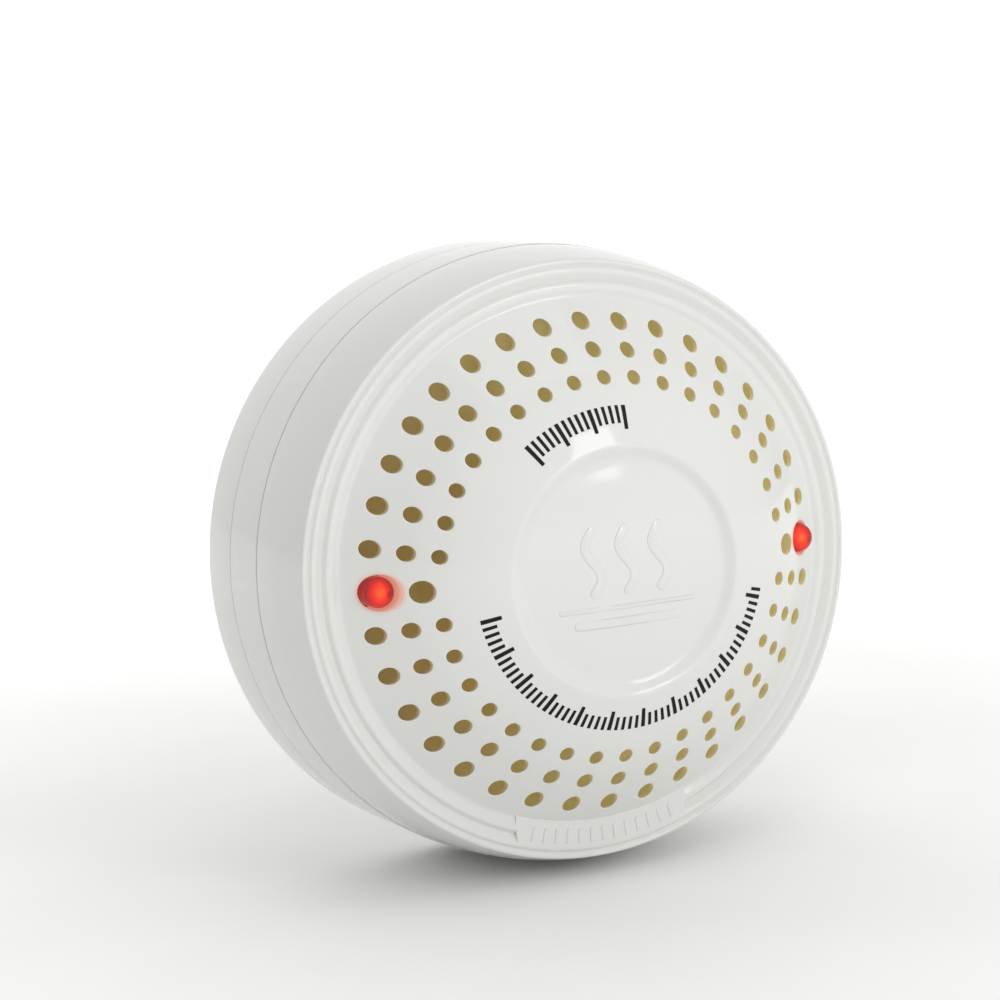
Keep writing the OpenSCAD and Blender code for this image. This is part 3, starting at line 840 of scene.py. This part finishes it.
def lamp(side, angle):
    """A flanged red lamp with a round top. Its ends come to the axis, where their corners merge."""
    radius = LAMP_D / 2
    flange_r = radius + 0.4
    bottom = LAMP_TOP - LAMP_LENGTH
    bm = bmesh.new()
    outline = rounded([(0.001, bottom, 0), (flange_r, bottom, 0.1), (flange_r, bottom + 1, 0.15),
                       (radius, bottom + 1, 0.1), (radius, bottom + 2, 0)])
    outline += arc_points((0, LAMP_TOP - radius), radius, 0, 89.99, 14)
    lathe(bm, outline, 48)
    bmesh.ops.translate(bm, verts=bm.verts, vec=place(LAMP_R, angle, 0))
    add_piece(f"lamp_{side}_body", bm, [EPOXY], replaces=[f"lamp_{side}"])


# ---- Pieces that keep the frame's shape ----

def turned_solid(name, corners):
    """A closed solid turned about the detector's axis, to trim a piece with."""
    bm = bmesh.new()
    rings = lathe(bm, rounded(corners))
    cap(bm, rings[0], corners[0][1])
    cap(bm, rings[-1], corners[-1][1])
    return linked_object(name, bm)


def trimmed(node, finish, body, corners):
    """A copy of the node whose side wall is turned smooth with round edges. The corners are
    those of the side wall and of the space that the rest of the node needs."""
    bm = bmesh.new()
    bm.from_mesh(frame["nodes"][node].data)
    piece = add_piece(f"{node}_shell", bm, [finish], body, replaces=[node])
    combine(piece, [turned_solid(f"{node}_envelope", corners)], "INTERSECT")
    piece.data.materials.clear()
    piece.data.materials.append(finish)


def drum_bands():
    """The base and the rear housing, which make the drum's two rear bands. Their walls lie a
    hair inside the frame's, so that its flat facets are trimmed away."""
    skin = 0.03
    seam_round, foot_round = 0.15, 0.12
    middle_r = 20
    flange = BASE_H + SEAM_GAP
    flange_r, top_r = side_r(flange), side_r(HOUSING_TOP)
    trimmed("mounting_base", SHELL_BASE, "base", [
        (middle_r, -1, 0), (BACK_R - skin - 1.1, -0.6, 0), (BACK_R - skin, 0, foot_round),
        (side_r(BASE_H) - skin, BASE_H, seam_round), (side_r(BASE_H) - 1.1, BASE_H + 0.6, 0),
        (middle_r, BASE_H + 1, 0)])
    trimmed("rear_housing", SHELL, "head", [
        (middle_r, flange - 6, 0), (flange_r - 1.2, flange - 6, 0),
        (flange_r - 1.2, flange - 0.65, 0),
        (flange_r - skin, flange, seam_round), (top_r - skin, HOUSING_TOP, foot_round),
        (top_r - 1.1, HOUSING_TOP + 0.6, 0), (top_r - 1.1, HOUSING_TOP + 4, 0),
        (middle_r, HOUSING_TOP + 4, 0)])


def finish_nodes():
    """Gives each CAD node that still shows the finish of its slot in the record."""
    slots = {n["node"]: n.get("material_slot") for n in frame["record"].get("subparts", [])}
    for name, node in frame["nodes"].items():
        node.data.materials.clear()
        node.data.materials.append(FINISHES[slots[name]])


# ---- Studio ----

def studio_floor():
    """A pale floor that grows brighter away from the detector, through painted light: an emission
    that is none near the detector and rises further out.
    """
    bm = bmesh.new()
    bmesh.ops.create_grid(bm, x_segments=8, y_segments=8, size=6)
    mesh = bpy.data.meshes.new("studio_floor")
    bm.to_mesh(mesh)
    bm.free()
    made, shader, node = material("studio_floor")
    link = made.node_tree.links.new
    link(ramp(node, noise(node, 0.02), (0.3, (0.9, 0.9, 0.89)), (0.7, (0.93, 0.93, 0.92))),
         shader.inputs["Base Color"])
    shader.inputs["Roughness"].default_value = 0.7
    where = node("ShaderNodeTexCoord").outputs["Object"]
    away = node("ShaderNodeVectorMath", {0: where}, operation="LENGTH").outputs["Value"]
    # Painted light: the floor's glow, none near the detector and growing outwards.
    link(spread(node, away, 0, 0.35, 0.05, 0.35), shader.inputs["Emission Strength"])
    shader.inputs["Emission Color"].default_value = (1, 1, 1, 1)
    mesh.materials.append(made)
    floor = bpy.data.objects.new("studio_floor", mesh)
    floor.location.z = FLOOR_Z
    bpy.context.scene.collection.objects.link(floor)


def direction(azimuth, elevation):
    """Unit vector from the detector towards a place: azimuth 0 is straight in front of it."""
    level = cosd(elevation)
    return Vector((sind(azimuth) * level, -cosd(azimuth) * level, sind(elevation)))


def soft_box(name, azimuth, elevation, away, size, strength):
    """A rectangular light that faces the detector. Its size and how far away it is are in
    metres, and the strength is its radiance."""
    data = bpy.data.lights.new(name, "AREA")
    data.shape = "RECTANGLE"
    data.size, data.size_y = size
    data.energy = strength * math.pi * size[0] * size[1]
    light = bpy.data.objects.new(name, data)
    towards = direction(azimuth, elevation)
    light.location = towards * away
    light.rotation_euler = (-towards).to_track_quat("-Z", "Y").to_euler()
    bpy.context.scene.collection.objects.link(light)


def white_room():
    """A pale room: brighter overhead and in front, dimmer to the left, and brightest behind."""
    world = bpy.data.worlds.new("room")
    bpy.context.scene.world = world
    world.use_nodes = True
    node = node_maker(world.node_tree)
    where = node("ShaderNodeTexCoord").outputs["Generated"]
    axes = node("ShaderNodeSeparateXYZ", {"Vector": where}).outputs
    strength = spread(node, axes["Z"], 0.5, 0.8, 0, 1)
    for term in (spread(node, axes["Y"], 0, 0.42, 0, -1),
                 spread(node, axes["Y"], 0, 0.55, 0.35, 0.75),
                 spread(node, axes["X"], -0.32, 0, -1, -0.1)):
        strength = node("ShaderNodeMath", {0: strength, 1: term}, operation="ADD").outputs[0]
    background = world.node_tree.nodes["Background"]
    world.node_tree.links.new(strength, background.inputs["Strength"])
    background.inputs["Color"].default_value = (1, 1, 1, 1)


def camera():
    """Views the detector from its left and slightly above, with a small roll."""
    target = Vector((-9.77, -25, 10.38)) * MM
    away = 406.2 * MM
    roll = math.radians(-3.65)
    towards = direction(-24.15, 6.85)
    data = bpy.data.cameras.new("camera")
    data.lens = 87.06
    data.sensor_width = 36
    made = bpy.data.objects.new("camera", data)
    made.rotation_mode = "QUATERNION"
    made.rotation_quaternion = (-towards).to_track_quat("-Z", "Y") @ Quaternion((0, 0, 1), roll)
    made.location = target + towards * away
    bpy.context.scene.collection.objects.link(made)
    bpy.context.scene.camera = made


# ---- Scene ----

camera()
studio_floor()
white_room()
soft_box("key_box", 20, 15.5, 1.0, (0.2, 0.45), 5.5)
soft_box("top_box", 10, 70, 1.2, (0.8, 0.5), 0.8)
bpy.context.scene.view_settings.view_transform = "Standard"

finish_nodes()
front_cover()
printed_scale("printed_scale_lower", (192, 346), (22.8, 26.05), 57)
printed_scale("printed_scale_upper", (86, 126), (22.8, 26.6), 16)
for side, angle in LAMP_ANGLES.items():
    lamp(side, angle)
drum_bands()
